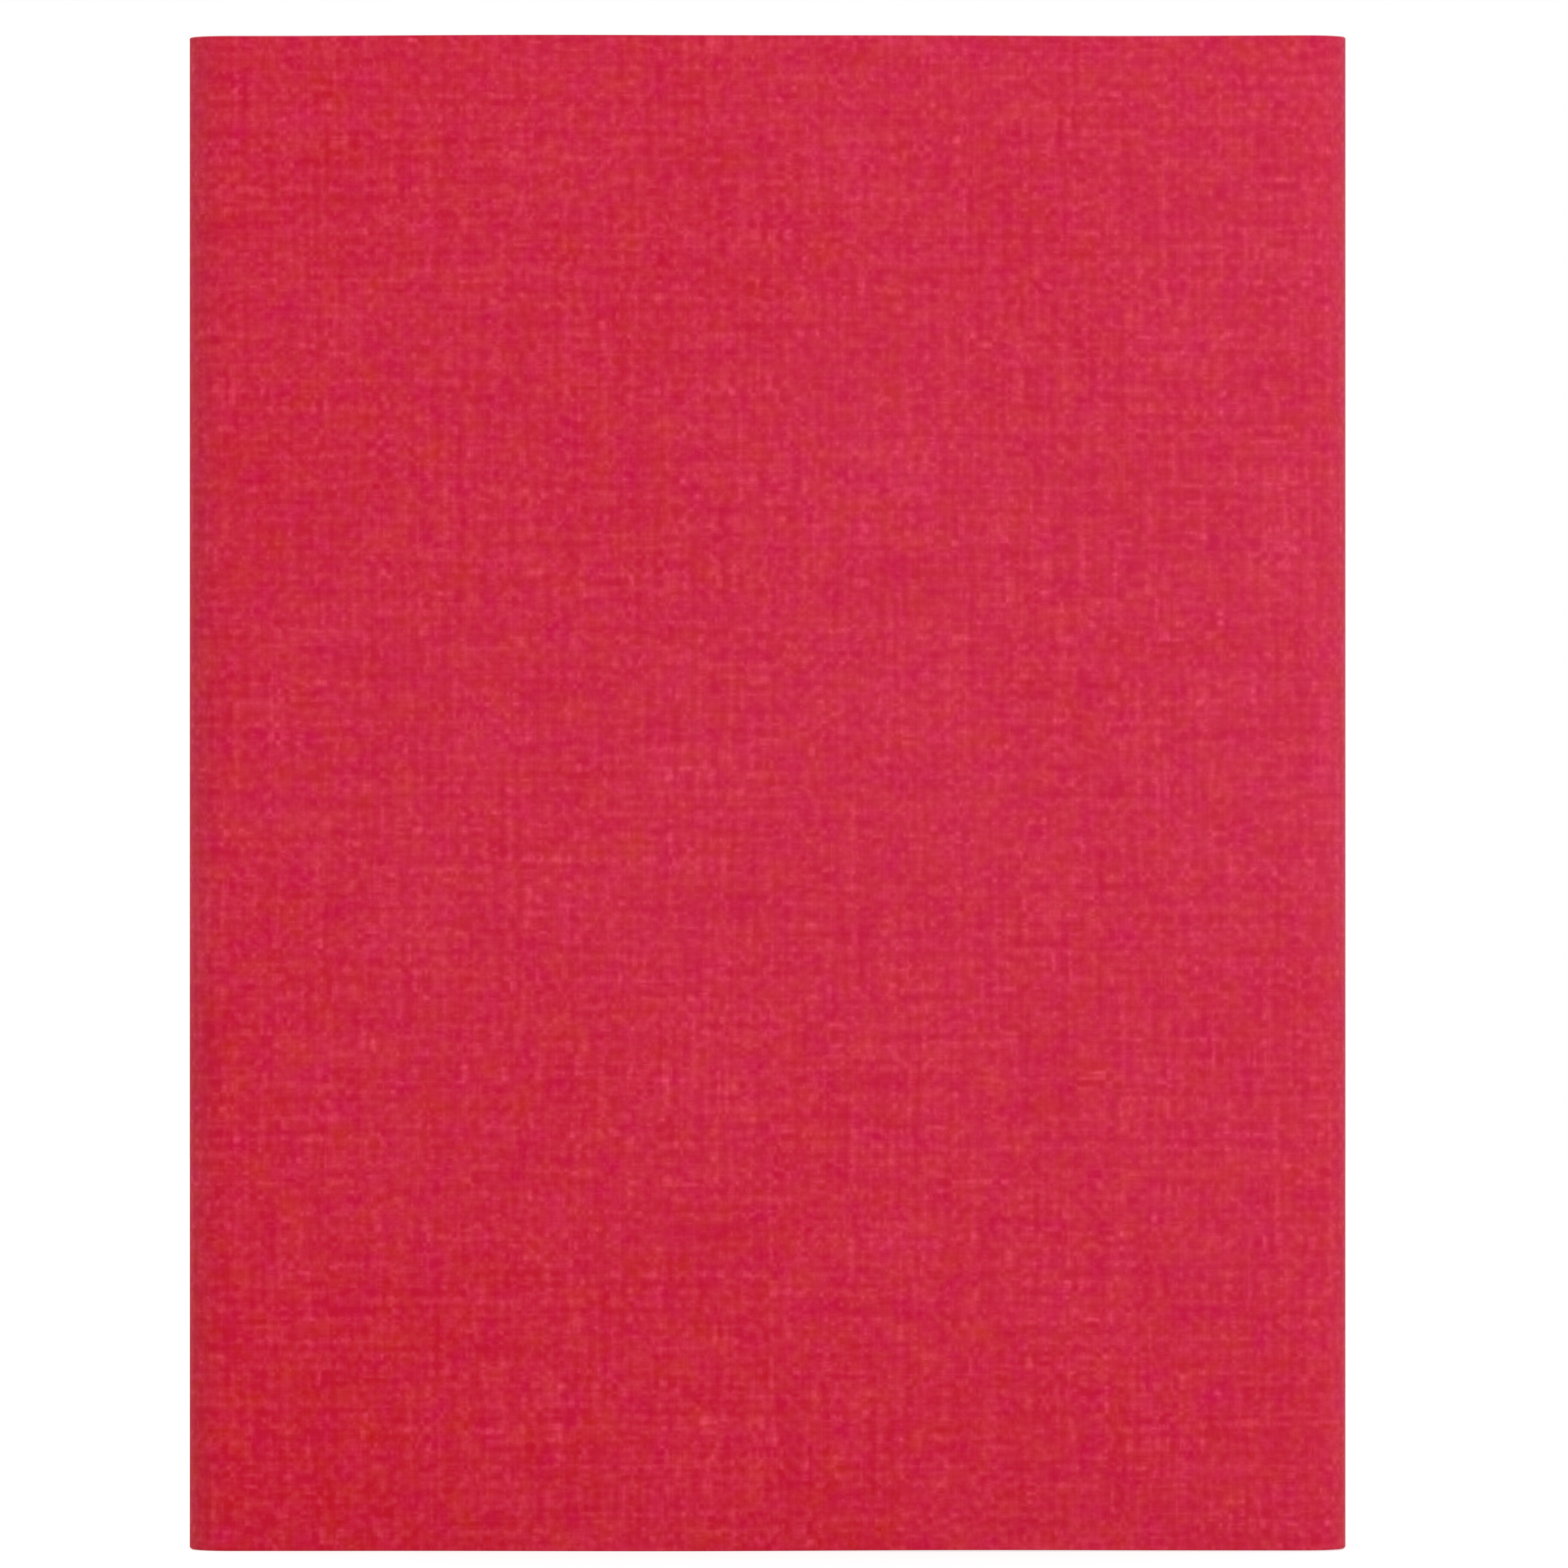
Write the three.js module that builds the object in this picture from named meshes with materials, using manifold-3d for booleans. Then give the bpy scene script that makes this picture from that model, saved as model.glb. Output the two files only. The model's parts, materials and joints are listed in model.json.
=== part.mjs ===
// A short fabric bolt: 44 in cotton, folded in four and wound on a flat corrugated board.
// Millimetres. X is the bolt's width, Y its depth with the front at -Y, Z its height.
// The origin is the middle of the foot print, at the level of the cloth's lower folds.

import * as THREE from "three";
import { mergeVertices } from "three/addons/utils/BufferGeometryUtils.js";
import Module from "manifold-3d";

const wasm = await Module();
wasm.setup();

// ---------------------------------------------------------------- driving sizes

// Cloth
const clothWidth = 1117.6; // selvedge to selvedge, 44 in
const pliesPerTurn = 4; // folded in half, then in half again
const plyThickness = 0.25;
const turns = 4;
const turnGap = 0.26; // air between one turn and the next
const windGap = 0.3; // air between the board and the first turn
const startInset = 9.6; // from the board's left edge to the cloth's inner end
const tailReach = 158.8; // free length of the loose end, from its fold
const foldGap = 0.3; // between the roll and the loose end, at the fold

// Board core: a tuck-end sleeve of corrugated board
const boardWidth = 203.2; // 8 in
const boardDepth = 25.4; // 1 in
const boardWall = 3.0;
const boardCorner = 2.5; // outside radius of the creased corners
const innerCorner = 0.6;
const clothOverhang = 3.2; // cloth past the board, at each end
const fitGap = 0.3; // clearance of every loose piece inside the sleeve

// Tuck flaps and their tongues
const flapSideGap = 2.4; // from the flap's end to the sleeve's outer face
const tongueAngle = 34; // degrees that the tongue curls round the flap's crease
const tongueInset = 26; // tongue's end to the flap's end

// Dust flaps
const dustLength = 18;
const dustSideGap = 0.5;

// Pleated stiffener
const stiffenerThickness = 1.6;
const pleatPitch = 26;
const pleatCrest = 5; // flat part of each crest
const stiffenerEndGap = 30; // free height under each flap
const stiffenerSideGap = 1.6;

// Glued lap inside the sleeve
const lapWidth = 24;
const lapEndGap = 32;

// Paper goods
const paperThickness = 0.15;
const paperGap = 0.05;
const labelLength = 150;
const labelDepth = 14;
const startTapeWidth = 25;
const startTapeLength = 220;
const tailTapeWidth = 19;
const tailTapeOnTail = 28;
const tailTapeOnRoll = 20;
const tailTapeSlope = 3.5; // length over which the tape steps down
const tailTapePast = 0.5; // from the cut edge to the top of that step
const tailTapeHeight = 0.27; // distance from each end, as a share of the height

// ---------------------------------------------------------------- derived places

const boltHeight = clothWidth / pliesPerTurn;
const turnThickness = pliesPerTurn * plyThickness;
const turnPitch = turnThickness + turnGap;
const halfWidth = boardWidth / 2;
const halfDepth = boardDepth / 2;
const coreBottom = clothOverhang;
const coreTop = boltHeight - clothOverhang;
const coreHeight = coreTop - coreBottom;
const innerHalfWidth = halfWidth - boardWall;
const innerHalfDepth = halfDepth - boardWall;
const cornerX = halfWidth - boardCorner;
const cornerY = halfDepth - boardCorner;

// Distance from the board's face to the middle of turn number k, counted from 1.
const turnOffset = (k) => windGap + turnThickness / 2 + (k - 1) * turnPitch;

const clothOuterY = halfDepth + turnOffset(turns) + turnThickness / 2;
const tailHingeX = cornerX - foldGap;
const tailEdgeX = tailHingeX - tailReach;

// ---------------------------------------------------------------- materials

const finish = (color, roughness) => new THREE.MeshStandardMaterial({ color, roughness, metalness: 0 });
const crimsonCloth = finish(0xcc2c45, 0.92);
const kraftBoard = finish(0xb08b5f, 0.88);
const whitePaper = finish(0xf1efe9, 0.6);
const maskingTape = finish(0xd9c79a, 0.7);

// ---------------------------------------------------------------- helpers

const bolt = new THREE.Group();

function add(name, geometry, material) {
  const mesh = new THREE.Mesh(geometry, material.clone());
  mesh.name = name;
  bolt.add(mesh);
  return mesh;
}

// Extrudes a shape drawn in X and Y upwards, from z = low.
function standing(shape, low, height) {
  const geometry = new THREE.ExtrudeGeometry(shape, { depth: height, bevelEnabled: false, curveSegments: 6 });
  return geometry.translate(0, 0, low);
}

// Extrudes a shape drawn in Y and Z along X, centred on x = 0.
function sideways(shape, length) {
  const geometry = new THREE.ExtrudeGeometry(shape, { depth: length, bevelEnabled: false, curveSegments: 6 });
  const axes = [new THREE.Vector3(0, 1, 0), new THREE.Vector3(0, 0, 1), new THREE.Vector3(1, 0, 0)];
  geometry.translate(0, 0, -length / 2);
  return geometry.applyMatrix4(new THREE.Matrix4().makeBasis(...axes));
}

// A box from its lowest to its highest corner.
function block(low, high) {
  const size = high.map((value, i) => value - low[i]);
  const middle = high.map((value, i) => (value + low[i]) / 2);
  return new THREE.BoxGeometry(...size).translate(...middle);
}

function arc(centreX, centreY, radius, fromDegrees, toDegrees, steps) {
  const points = [];
  for (let i = 0; i <= steps; i += 1) {
    const angle = THREE.MathUtils.degToRad(fromDegrees + ((toDegrees - fromDegrees) * i) / steps);
    points.push(new THREE.Vector2(centreX + radius * Math.cos(angle), centreY + radius * Math.sin(angle)));
  }
  return points;
}

// The outline of a strip of even thickness that follows a line, with mitred corners.
function stripShape(line, thickness) {
  const normals = line.map((point, i) => {
    const before = line[Math.max(i - 1, 0)];
    const after = line[Math.min(i + 1, line.length - 1)];
    const into = i > 0 ? point.clone().sub(before).normalize() : after.clone().sub(point).normalize();
    const out = i < line.length - 1 ? after.clone().sub(point).normalize() : into;
    const along = into.clone().add(out).normalize();
    return new THREE.Vector2(-along.y, along.x).divideScalar(along.dot(into));
  });
  const side = (sign) => line.map((point, i) => point.clone().addScaledVector(normals[i], (sign * thickness) / 2));
  return new THREE.Shape([...side(-1), ...side(1).reverse()]);
}

function roundedRectangle(halfX, halfY, radius) {
  const x = halfX - radius;
  const y = halfY - radius;
  return [
    ...arc(x, y, radius, 0, 90, 5),
    ...arc(-x, y, radius, 90, 180, 5),
    ...arc(-x, -y, radius, 180, 270, 5),
    ...arc(x, -y, radius, 270, 360, 5),
  ];
}

function toSolid(geometry) {
  geometry.deleteAttribute("normal");
  geometry.deleteAttribute("uv");
  const merged = mergeVertices(geometry, 1e-4);
  return new wasm.Manifold(
    new wasm.Mesh({
      numProp: 3,
      vertProperties: merged.getAttribute("position").array,
      triVerts: new Uint32Array(merged.index.array),
    }),
  );
}

function toGeometry(solid) {
  const { vertProperties, triVerts, numProp } = solid.getMesh();
  const positions = new Float32Array((vertProperties.length / numProp) * 3);
  for (let i = 0; i < positions.length / 3; i += 1) {
    positions.set(vertProperties.subarray(i * numProp, i * numProp + 3), i * 3);
  }
  const geometry = new THREE.BufferGeometry();
  geometry.setAttribute("position", new THREE.BufferAttribute(positions, 3));
  geometry.setIndex(new THREE.BufferAttribute(triVerts, 1));
  return geometry;
}

// ---------------------------------------------------------------- cloth

// The middle of the wound cloth, from its inner end on the front of the board to the fold of the loose end.
// It climbs by one turn as it passes the left side.
function rollLine() {
  const line = [new THREE.Vector2(startInset - halfWidth, -halfDepth - turnOffset(1))];
  for (let k = 1; k <= turns; k += 1) {
    const radius = boardCorner + turnOffset(k);
    line.push(...arc(cornerX, -cornerY, radius, -90, 0, 5));
    line.push(...arc(cornerX, cornerY, radius, 0, 90, 5));
    if (k < turns) {
      line.push(...arc(-cornerX, cornerY, radius, 90, 180, 5));
      line.push(...arc(-cornerX, -cornerY, radius + turnPitch, 180, 270, 5));
    }
  }
  return line;
}

function makeCloth() {
  add("cloth_roll", standing(stripShape(rollLine(), turnThickness), 0, boltHeight), crimsonCloth);
  add(
    "cloth_tail",
    block([tailEdgeX, clothOuterY - turnThickness, 0], [tailHingeX, clothOuterY, boltHeight]),
    crimsonCloth,
  );
}

// ---------------------------------------------------------------- board core

// The two ends are alike, half a turn apart about X: the upper flap's crease is at the back,
// the lower one's at the front.
const ends = {
  top: { height: coreTop, facing: 1, turn: 0 },
  bottom: { height: coreBottom, facing: -1, turn: Math.PI },
};

// Space over the walls that a flap folds across, drawn for the top end: both sides and the creased wall.
function endNotch(end) {
  const depth = boardWall + fitGap;
  const past = 1;
  const low = [-halfWidth - past, -innerHalfDepth, -depth];
  const high = [halfWidth + past, halfDepth + past, past];
  const notch = block(low, high);
  notch.rotateX(ends[end].turn);
  return toSolid(notch.translate(0, 0, ends[end].height));
}

function makeSleeve() {
  const outline = new THREE.Shape(roundedRectangle(halfWidth, halfDepth, boardCorner));
  outline.holes.push(new THREE.Path(roundedRectangle(innerHalfWidth, innerHalfDepth, innerCorner)));
  const tube = toSolid(standing(outline, coreBottom, coreHeight));

  // The glued lap doubles the back wall beside the left corner.
  const bite = boardWall / 2;
  const lap = toSolid(
    block(
      [-innerHalfWidth - bite, innerHalfDepth - boardWall, coreBottom + lapEndGap],
      [-innerHalfWidth + lapWidth, innerHalfDepth + bite, coreTop - lapEndGap],
    ),
  );
  const sleeve = tube.subtract(endNotch("top")).subtract(endNotch("bottom")).add(lap);
  add("core_sleeve", toGeometry(sleeve), kraftBoard);
}

// The pleated insert that keeps the two faces of the sleeve apart.
function makeStiffener() {
  const reach = innerHalfDepth - fitGap - stiffenerThickness / 2;
  const left = -innerHalfWidth + lapWidth + stiffenerSideGap;
  const right = innerHalfWidth - stiffenerSideGap;
  const pleats = Math.floor((right - left) / pleatPitch);
  const slack = (right - left - pleats * pleatPitch) / 2;
  const line = [];
  for (let i = 0; i < pleats; i += 1) {
    const x = left + slack + i * pleatPitch;
    const half = pleatPitch / 2;
    line.push(new THREE.Vector2(x, -reach), new THREE.Vector2(x + pleatCrest, -reach));
    line.push(new THREE.Vector2(x + half, reach), new THREE.Vector2(x + half + pleatCrest, reach));
  }
  const shape = stripShape(line, stiffenerThickness);
  add(
    "core_stiffener",
    standing(shape, coreBottom + stiffenerEndGap, coreHeight - 2 * stiffenerEndGap),
    kraftBoard,
  );
}

// A tuck flap for the top end, drawn round its crease, which is the back wall's outer upper edge.
// The tongue is curled about that crease, so that it slides out along its own curve.
function flapGeometry() {
  const reach = halfDepth + innerHalfDepth - fitGap;
  const edgeAngle = THREE.MathUtils.radToDeg(Math.asin(boardWall / reach));
  const panel = new THREE.Shape([
    new THREE.Vector2(0, -boardWall),
    new THREE.Vector2(0, 0),
    ...arc(0, 0, reach, 180, 180 + edgeAngle, 2),
  ]);
  const curl = 180 + tongueAngle;
  const tongue = new THREE.Shape([
    ...arc(0, 0, reach, 180, curl, 7),
    ...arc(0, 0, reach - boardWall, curl, 180, 7),
  ]);
  const panelSolid = toSolid(sideways(panel, boardWidth - 2 * flapSideGap));
  const tongueSolid = toSolid(sideways(tongue, boardWidth - 2 * tongueInset));
  return toGeometry(panelSolid.add(tongueSolid));
}

function dustFlapGeometry() {
  const front = -innerHalfDepth + dustSideGap;
  const back = innerHalfDepth - dustSideGap;
  const cut = (back - front) / 4;
  const outline = new THREE.Shape([
    new THREE.Vector2(0, front),
    new THREE.Vector2(0, back),
    new THREE.Vector2(-dustLength + cut, back),
    new THREE.Vector2(-dustLength, back - cut),
    new THREE.Vector2(-dustLength, front + cut),
    new THREE.Vector2(-dustLength + cut, front),
  ]);
  return standing(outline, 0, boardWall);
}

function makeEnd(end) {
  const { height, facing, turn } = ends[end];
  const flap = add(`${end}_flap`, flapGeometry(), kraftBoard);
  flap.rotation.x = turn;
  flap.position.set(0, facing * halfDepth, height);

  // The dust flaps lie under the tuck flap.
  const depth = 2 * boardWall + fitGap;
  for (const [side, sign] of [["left", -1], ["right", 1]]) {
    const dust = add(`${end}_dust_flap_${side}`, dustFlapGeometry(), kraftBoard);
    dust.rotation.set(turn, 0, sign > 0 ? 0 : Math.PI);
    dust.position.set(sign * (innerHalfWidth - fitGap), 0, height - facing * depth);
  }
}

// ---------------------------------------------------------------- paper label and tapes

function makePaper() {
  const labelLow = coreTop + paperGap;
  const labelMiddle = boardWall / 2; // the middle of the flap that shows
  add(
    "end_label",
    block(
      [-labelLength / 2, labelMiddle - labelDepth / 2, labelLow],
      [labelLength / 2, labelMiddle + labelDepth / 2, labelLow + paperThickness],
    ),
    whitePaper,
  );

  const startX = startInset - halfWidth;
  const startY = -halfDepth - paperGap;
  add(
    "start_tape",
    block(
      [startX, startY - paperThickness, (boltHeight - startTapeLength) / 2],
      [startX + startTapeWidth, startY, (boltHeight + startTapeLength) / 2],
    ),
    maskingTape,
  );
}

// A strip that holds the loose end down: it lies on the tail, and steps down on to the turn below.
function makeTailTape(name, middle) {
  const lift = paperGap + paperThickness / 2;
  const high = clothOuterY + lift;
  const low = clothOuterY - turnPitch + lift;
  const past = tailEdgeX - tailTapePast;
  const line = [
    new THREE.Vector2(tailEdgeX + tailTapeOnTail, high),
    new THREE.Vector2(past, high),
    new THREE.Vector2(past - tailTapeSlope, low),
    new THREE.Vector2(past - tailTapeSlope - tailTapeOnRoll, low),
  ];
  add(name, standing(stripShape(line, paperThickness), middle - tailTapeWidth / 2, tailTapeWidth), maskingTape);
}

makeCloth();
makeSleeve();
makeStiffener();
makeEnd("top");
makeEnd("bottom");
makePaper();
makeTailTape("tail_tape_upper", boltHeight * (1 - tailTapeHeight));
makeTailTape("tail_tape_lower", boltHeight * tailTapeHeight);

export default bolt;
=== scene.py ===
import json
import math
import random

import bmesh
import bpy
import numpy as np
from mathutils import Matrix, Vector


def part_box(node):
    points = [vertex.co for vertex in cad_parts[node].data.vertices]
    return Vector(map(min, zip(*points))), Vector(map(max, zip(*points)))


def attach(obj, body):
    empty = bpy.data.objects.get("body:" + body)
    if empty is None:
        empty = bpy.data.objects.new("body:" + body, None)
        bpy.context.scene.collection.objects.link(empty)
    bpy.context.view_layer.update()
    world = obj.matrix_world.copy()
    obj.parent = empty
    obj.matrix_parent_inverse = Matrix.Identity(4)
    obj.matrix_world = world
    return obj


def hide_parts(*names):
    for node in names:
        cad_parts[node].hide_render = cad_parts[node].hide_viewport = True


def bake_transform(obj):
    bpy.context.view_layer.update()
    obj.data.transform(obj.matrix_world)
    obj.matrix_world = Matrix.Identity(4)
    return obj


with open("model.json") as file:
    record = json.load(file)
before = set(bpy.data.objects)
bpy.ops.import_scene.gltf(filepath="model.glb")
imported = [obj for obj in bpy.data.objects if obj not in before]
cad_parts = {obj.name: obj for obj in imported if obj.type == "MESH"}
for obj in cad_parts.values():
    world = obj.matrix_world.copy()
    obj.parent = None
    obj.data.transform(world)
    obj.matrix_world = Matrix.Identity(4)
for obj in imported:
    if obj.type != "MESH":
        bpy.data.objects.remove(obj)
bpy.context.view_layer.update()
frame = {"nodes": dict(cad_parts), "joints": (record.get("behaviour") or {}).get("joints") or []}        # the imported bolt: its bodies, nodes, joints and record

# Metres throughout: X is the bolt's width, Y its depth with the front at -Y, Z its height.
mm = 0.001
hair = 0.01 * mm         # points closer than this are in one place
rollLow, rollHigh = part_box("cloth_roll")
tailLow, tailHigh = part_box("cloth_tail")
sleeveLow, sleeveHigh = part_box("core_sleeve")
flapLow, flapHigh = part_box("top_flap")
dustLow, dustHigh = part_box("top_dust_flap_right")
labelLow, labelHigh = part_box("end_label")
hinges = {joint["name"]: Vector(joint["pos_m"]) for joint in frame["joints"]}
clothHeight = rollHigh.z - rollLow.z
turnThickness = tailHigh.y - tailLow.y
boardThickness = dustHigh.z - dustLow.z


def deselectAll():
    if bpy.context.mode != "OBJECT":
        bpy.ops.object.mode_set(mode="OBJECT")
    bpy.ops.object.select_all(action="DESELECT")


def activate(piece):
    deselectAll()
    piece.select_set(True)
    bpy.context.view_layer.objects.active = piece


# Moves the place of the piece just added into its mesh.
def settle(name=None):
    piece = bpy.context.object
    if name:
        piece.name = name
        piece.data.name = name
    bpy.ops.object.transform_apply(location=True, rotation=True, scale=True)
    return piece


def addBox(name, low, high):
    deselectAll()
    low, high = Vector(low), Vector(high)
    bpy.ops.mesh.primitive_cube_add(size=1, location=(low + high) / 2)
    bpy.context.object.scale = high - low
    return settle(name)


# A flat grid at height z, from corner low to corner high, cut into so many columns and rows.
def addGrid(name, low, high, z, columns=1, rows=1):
    deselectAll()
    middle = ((low[0] + high[0]) / 2, (low[1] + high[1]) / 2, z)
    bpy.ops.mesh.primitive_grid_add(x_subdivisions=columns, y_subdivisions=rows, size=1, location=middle)
    bpy.context.object.scale = (high[0] - low[0], high[1] - low[1], 1)
    return settle(name)


# Opens the piece in edit mode and selects the parts whose middle passes the test.
def pick(piece, kind, test):
    activate(piece)
    bpy.ops.object.mode_set(mode="EDIT")
    bpy.ops.mesh.select_mode(type=kind)
    bpy.ops.mesh.select_all(action="DESELECT")
    edit = bmesh.from_edit_mesh(piece.data)
    parts = {"VERT": edit.verts, "EDGE": edit.edges, "FACE": edit.faces}[kind]
    for part in parts:
        corners = [part.co] if kind == "VERT" else [corner.co for corner in part.verts]
        if test(part, sum(corners, Vector()) / len(corners)):
            part.select = True
    edit.select_flush_mode()
    bmesh.update_edit_mesh(piece.data)


def everything(part, middle):
    return True


def finishEdit():
    bpy.ops.object.mode_set(mode="OBJECT")


# Cuts the piece at a plane.
def split(piece, point, normal, clear=False):
    pick(piece, "FACE", everything)
    bpy.ops.mesh.bisect(plane_co=point, plane_no=normal, clear_outer=clear)
    finishEdit()


# Cuts the piece at a plane and drops what lies on the side that the normal points to.
def trim(piece, point, normal):
    split(piece, point, normal, clear=True)


# Adds a modifier with its settings and applies it.
def modify(piece, kind, **settings):
    activate(piece)
    modifier = piece.modifiers.new(kind.lower(), kind)
    for key, value in settings.items():
        setattr(modifier, key, value)
    bpy.ops.object.modifier_apply(modifier=modifier.name)


def thicken(piece, thickness, offset=0.0):
    modify(piece, "SOLIDIFY", thickness=thickness, offset=offset, use_even_offset=True)


def joinAll(name, parts):
    deselectAll()
    for part in parts:
        part.select_set(True)
    bpy.context.view_layer.objects.active = parts[0]
    bpy.ops.object.join()
    parts[0].name = name
    parts[0].data.name = name
    return parts[0]


def copyOf(piece, name):
    activate(piece)
    bpy.ops.object.duplicate(linked=False)
    made = bpy.context.object
    made.name = name
    made.data.name = name
    return made


# Turns a piece about the origin, shifts it, and keeps its new place in its mesh.
def turnAndShift(piece, turn, shift=(0, 0, 0)):
    activate(piece)
    piece.rotation_euler = turn
    piece.location = shift
    return settle()


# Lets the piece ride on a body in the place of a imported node.
def standFor(piece, node, body):
    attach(piece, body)
    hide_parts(node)


# The core's lower end is its upper end turned over about X.
def lowerCopy(piece, name):
    return turnAndShift(copyOf(piece, name), (math.pi, 0, 0), (0, 0, sleeveLow.z + sleeveHigh.z))


def smooth(piece, degrees):
    activate(piece)
    bpy.ops.object.shade_smooth_by_angle(angle=math.radians(degrees))


def dress(piece, material):
    piece.data.materials.clear()
    piece.data.materials.append(material)


# Adds nodes to a tree and feeds their sockets with values or other sockets.
class Wiring:
    def __init__(self, tree):
        self.tree = tree

    def feed(self, socket, value):
        if isinstance(value, bpy.types.NodeSocket):
            self.tree.links.new(value, socket)
        elif socket.type == "RGBA":
            socket.default_value = (*value, 1)
        else:
            socket.default_value = value

    def node(self, kind, inputs=None, **settings):
        made = self.tree.nodes.new(kind)
        for key, value in settings.items():
            setattr(made, key, value)
        for key, value in (inputs or {}).items():
            self.feed(made.inputs[key], value)
        return made

    def math(self, operation, a, b=0.0, c=0.0, clamp=False):
        made = self.node("ShaderNodeMath", {0: a, 1: b, 2: c}, operation=operation, use_clamp=clamp)
        return made.outputs[0]

    def times(self, a, b, clamp=False):
        return self.math("MULTIPLY", a, b, clamp=clamp)

    def timesPlus(self, a, b, c, clamp=False):
        return self.math("MULTIPLY_ADD", a, b, c, clamp)

    # The place of a point on the piece, in metres.
    def place(self):
        return self.node("ShaderNodeTexCoord").outputs["Object"]

    def shaded(self, color, shade):
        return self.vector("SCALE", color, scale=shade)

    def vector(self, operation, a, b=(0, 0, 0), scale=1.0):
        made = self.node("ShaderNodeVectorMath", {0: a, 1: b}, operation=operation)
        if operation == "SCALE":
            self.feed(made.inputs["Scale"], scale)
        return made.outputs["Vector"]

    def parts(self, vector):
        return self.node("ShaderNodeSeparateXYZ", {0: vector}).outputs

    def mixed(self, share, a, b):
        made = self.node("ShaderNodeMix", data_type="RGBA")
        self.feed(made.inputs["Factor"], share)
        self.feed(made.inputs[6], a)
        self.feed(made.inputs[7], b)
        return made.outputs[2]

    def mapped(self, vector, scale=(1, 1, 1), shift=(0, 0, 0)):
        made = self.node("ShaderNodeMapping", {"Vector": vector})
        made.inputs["Scale"].default_value = scale
        made.inputs["Location"].default_value = shift
        return made.outputs[0]

    # Soft noise about 0.
    def cloud(self, vector, scale, detail=2.0, roughness=0.5):
        made = self.node("ShaderNodeTexNoise", {"Vector": vector, "Scale": scale, "Detail": detail,
                                                "Roughness": roughness})
        return self.math("SUBTRACT", made.outputs["Fac"], 0.5)

    def remap(self, value, fromLow, fromHigh, toLow=0.0, toHigh=1.0):
        made = self.node("ShaderNodeMapRange", {"Value": value, "From Min": fromLow, "From Max": fromHigh,
                                                "To Min": toLow, "To Max": toHigh})
        return made.outputs[0]

    def group(self, tree, **inputs):
        made = self.node("ShaderNodeGroup", node_tree=tree)
        for key, value in inputs.items():
            self.feed(made.inputs[key], value)
        return made.outputs

    def bump(self, height, strength, distance):
        made = self.node("ShaderNodeBump", {"Height": height})
        made.inputs["Strength"].default_value = strength
        made.inputs["Distance"].default_value = distance
        return made.outputs[0]


def newMaterial(name, roughness, specular=0.3):
    material = bpy.data.materials.new(name)
    material.use_nodes = True
    shader = material.node_tree.nodes["Principled BSDF"]
    shader.inputs["Roughness"].default_value = roughness
    shader.inputs["Specular IOR Level"].default_value = specular
    return material, Wiring(material.node_tree), shader.inputs


camera = {
    "lens": 300,               # long, so that the bolt's face is seen square on
    "sensor": 36,
    "across": 0.2885,          # width of the view at the bolt's front face
    "offset": (0.00303, 0.00156),   # from the middle of the face to the middle of the view
    "clip": (0.05, 60),
}
studio = {
    "skyBehind": 1.0,          # what is seen behind the bolt
    "skyLight": 0.80,          # what falls on the bolt
    "key": {"energy": 16.0, "size": 1.2, "place": (0.95, -1.95, 0.2)},
    "fill": {"energy": 1.2, "size": 1.2, "place": (-0.9, 0.9, 1.1)},
    "floorSize": 5.0,
    "floorColor": (0.34, 0.34, 0.338),
    "floorGlow": (0.36, 0.80),   # what it gives the bolt, and what is seen of it
}


def addCamera():
    deselectAll()
    face = Vector(((rollLow.x + rollHigh.x) / 2, rollLow.y, (rollLow.z + rollHigh.z) / 2))
    distance = camera["across"] * camera["lens"] / camera["sensor"]
    place = face + Vector((camera["offset"][0], -distance, camera["offset"][1]))
    bpy.ops.object.camera_add(location=place, rotation=(math.pi / 2, 0, 0))
    made = bpy.context.object
    made.name = "studioCamera"
    made.data.lens = camera["lens"]
    made.data.sensor_width = camera["sensor"]
    made.data.clip_start, made.data.clip_end = camera["clip"]
    bpy.context.scene.camera = made


def addSoftbox(name, energy, size, place):
    deselectAll()
    target = Vector((0, 0, clothHeight / 2))
    bpy.ops.object.light_add(type="AREA", location=place)
    box = bpy.context.object
    box.name = name
    box.data.energy = energy
    box.data.shape = "DISK"
    box.data.size = size
    box.rotation_euler = (target - Vector(place)).to_track_quat("-Z", "Y").to_euler()


def addSky():
    sky = bpy.data.worlds.new("paleStudio")
    bpy.context.scene.world = sky
    sky.use_nodes = True
    sky.node_tree.nodes.clear()
    wiring = Wiring(sky.node_tree)
    falling, behind = [
        wiring.node("ShaderNodeBackground", {"Color": (1, 1, 1), "Strength": studio[name]}).outputs[0]
        for name in ("skyLight", "skyBehind")
    ]
    seen = wiring.node("ShaderNodeLightPath").outputs["Is Camera Ray"]
    mix = wiring.node("ShaderNodeMixShader", {0: seen, 1: falling, 2: behind})
    wiring.node("ShaderNodeOutputWorld", {"Surface": mix.outputs[0]})


def addFloor():
    half = studio["floorSize"] / 2
    made = addGrid("paleFloor", (-half, -half), (half, half), 0.0, 8, 8)
    pale, wiring, sockets = newMaterial("paleFloor", 0.9, 0.1)
    wiring.feed(sockets["Base Color"], studio["floorColor"])
    wiring.feed(sockets["Emission Color"], (1, 1, 1))
    seen = wiring.node("ShaderNodeLightPath").outputs["Is Camera Ray"]
    wiring.feed(sockets["Emission Strength"], wiring.remap(seen, 0.0, 1.0, *studio["floorGlow"]))
    dress(made, pale)


addCamera()
addSky()
addSoftbox("keySoftbox", **studio["key"])
addSoftbox("fillSoftbox", **studio["fill"])
addFloor()
bpy.context.scene.view_settings.view_transform = "Standard"
print("stage set")


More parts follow.
